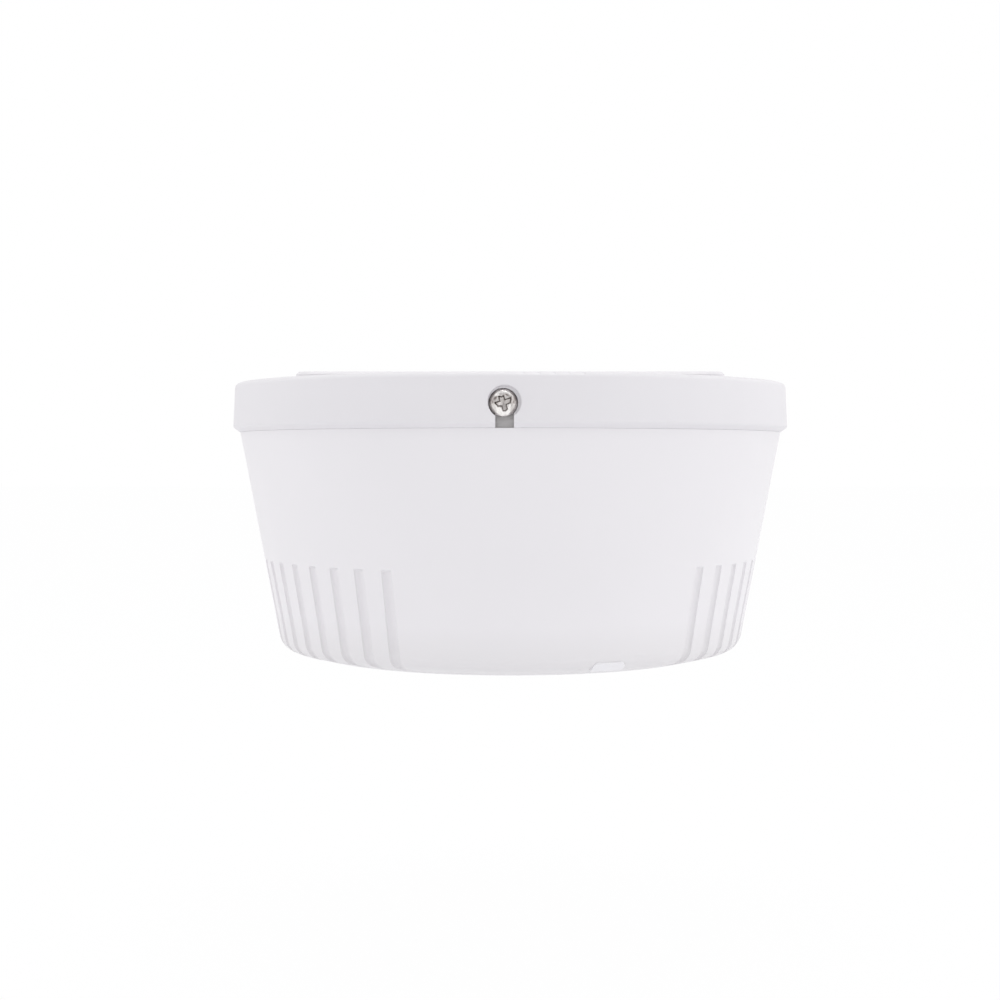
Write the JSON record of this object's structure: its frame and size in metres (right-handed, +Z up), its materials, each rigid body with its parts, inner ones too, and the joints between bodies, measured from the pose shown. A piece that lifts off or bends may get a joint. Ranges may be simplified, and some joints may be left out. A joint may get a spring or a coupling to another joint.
{
  "type": "heat detector",
  "caption": "Ceiling heat detector: a round mounting base with terminals, and a fluted plug-in head with a caged heat sensor, held by a locking screw.",
  "frame": {"origin": "centre of the mounting plane, where the base's raised pad meets the ceiling", "axes": "+Z up into the ceiling, so the detector hangs below z = 0; -Y is the front, where the locking screw is; +X is to the right seen from the front"},
  "size_m": [0.12, 0.12, 0.0625],
  "materials": {
    "base_abs": "fine satin moulded white",
    "cover_abs": "fine satin moulded white",
    "chassis_abs": "moulded white",
    "zinc_steel": "bright zinc plated",
    "brass": "turned",
    "tinned_brass": "stamped and tinned",
    "rubber": "moulded",
    "board": "green solder mask",
    "relay_case": "moulded blue",
    "can_sleeve": "shrunk sleeve on an aluminium can",
    "package": "moulded epoxy",
    "varistor": "dipped epoxy",
    "light_guide": "milky acrylic",
    "led_epoxy": "tinted epoxy",
    "bead_epoxy": "dipped epoxy",
    "lead_wire": "tinned wire",
    "ptfe": "extruded tube"
  },
  "bodies": {
    "base": {"base_housing": "base_abs", "cable_grommet": "rubber", "contact_rivets": "brass", "locking_insert": "brass", "base_contact_1": "tinned_brass", "base_contact_2": "tinned_brass", "base_contact_3": "tinned_brass", "base_contact_4": "tinned_brass"},
    "head": {"cover": "cover_abs", "chassis": "chassis_abs", "chassis_screws": "zinc_steel", "seal_ring": "rubber", "circuit_board": "board", "board_screws": "zinc_steel", "relay": "relay_case", "capacitor": "can_sleeve", "controller_chip": "package", "bridge_rectifier": "package", "surge_suppressor": "varistor", "resistors": "package", "indicator_led": "led_epoxy", "light_pipe": "light_guide", "reference_thermistor": "bead_epoxy", "sensing_thermistor": "bead_epoxy", "sensor_leads": "lead_wire", "sensor_sleeve": "ptfe", "sensor_guard": "cover_abs", "sensor_bush": "rubber", "contact_blade_1": "tinned_brass", "contact_blade_2": "tinned_brass", "contact_blade_3": "tinned_brass", "contact_blade_4": "tinned_brass"},
    "lock_washer": {"locking_washer": "zinc_steel"},
    "lock_screw": {"locking_screw": "zinc_steel"},
    "clamp_1": {"wire_clamp_1": "zinc_steel"},
    "terminal_1": {"terminal_screw_1": "zinc_steel"},
    "clamp_2": {"wire_clamp_2": "zinc_steel"},
    "terminal_2": {"terminal_screw_2": "zinc_steel"},
    "clamp_3": {"wire_clamp_3": "zinc_steel"},
    "terminal_3": {"terminal_screw_3": "zinc_steel"},
    "clamp_4": {"wire_clamp_4": "zinc_steel"},
    "terminal_4": {"terminal_screw_4": "zinc_steel"}
  },
  "joints": [
    {"name": "head_slide", "type": "slide", "parent": "base", "child": "head", "axis": [0, 0, -1], "range_m": [0, 0.036]},
    {"name": "lock_screw_travel", "type": "slide", "parent": "base", "child": "lock_washer", "axis": [0, -1, 0], "range_m": [0, 0.0015]},
    {"name": "lock_screw_turn", "type": "hinge", "parent": "lock_washer", "child": "lock_screw", "pos_m": [-0.0013, -0.058, -0.00672], "axis": [0, -1, 0], "range_deg": [0, 1081]},
    {"name": "clamp_1_travel", "type": "slide", "parent": "base", "child": "clamp_1", "axis": [0, 0, -1], "range_m": [0, 0.0015]},
    {"name": "terminal_1_turn", "type": "hinge", "parent": "clamp_1", "child": "terminal_1", "pos_m": [0.02086, -0.03005, -0.0081], "axis": [0, 0, -1], "range_deg": [0, 901]},
    {"name": "clamp_2_travel", "type": "slide", "parent": "base", "child": "clamp_2", "axis": [0, 0, -1], "range_m": [0, 0.0015]},
    {"name": "terminal_2_turn", "type": "hinge", "parent": "clamp_2", "child": "terminal_2", "pos_m": [0.03005, 0.02086, -0.0081], "axis": [0, 0, -1], "range_deg": [0, 901]},
    {"name": "clamp_3_travel", "type": "slide", "parent": "base", "child": "clamp_3", "axis": [0, 0, -1], "range_m": [0, 0.0015]},
    {"name": "terminal_3_turn", "type": "hinge", "parent": "clamp_3", "child": "terminal_3", "pos_m": [-0.02086, 0.03005, -0.0081], "axis": [0, 0, -1], "range_deg": [0, 901]},
    {"name": "clamp_4_travel", "type": "slide", "parent": "base", "child": "clamp_4", "axis": [0, 0, -1], "range_m": [0, 0.0015]},
    {"name": "terminal_4_turn", "type": "hinge", "parent": "clamp_4", "child": "terminal_4", "pos_m": [-0.03005, -0.02086, -0.0081], "axis": [0, 0, -1], "range_deg": [0, 901]}
  ],
  "couplings": [
    {"joint": "lock_screw_turn", "follows": "lock_screw_travel", "rad_per_m": 12566},
    {"joint": "terminal_1_turn", "follows": "clamp_1_travel", "rad_per_m": 10472},
    {"joint": "terminal_2_turn", "follows": "clamp_2_travel", "rad_per_m": 10472},
    {"joint": "terminal_3_turn", "follows": "clamp_3_travel", "rad_per_m": 10472},
    {"joint": "terminal_4_turn", "follows": "clamp_4_travel", "rad_per_m": 10472}
  ]
}
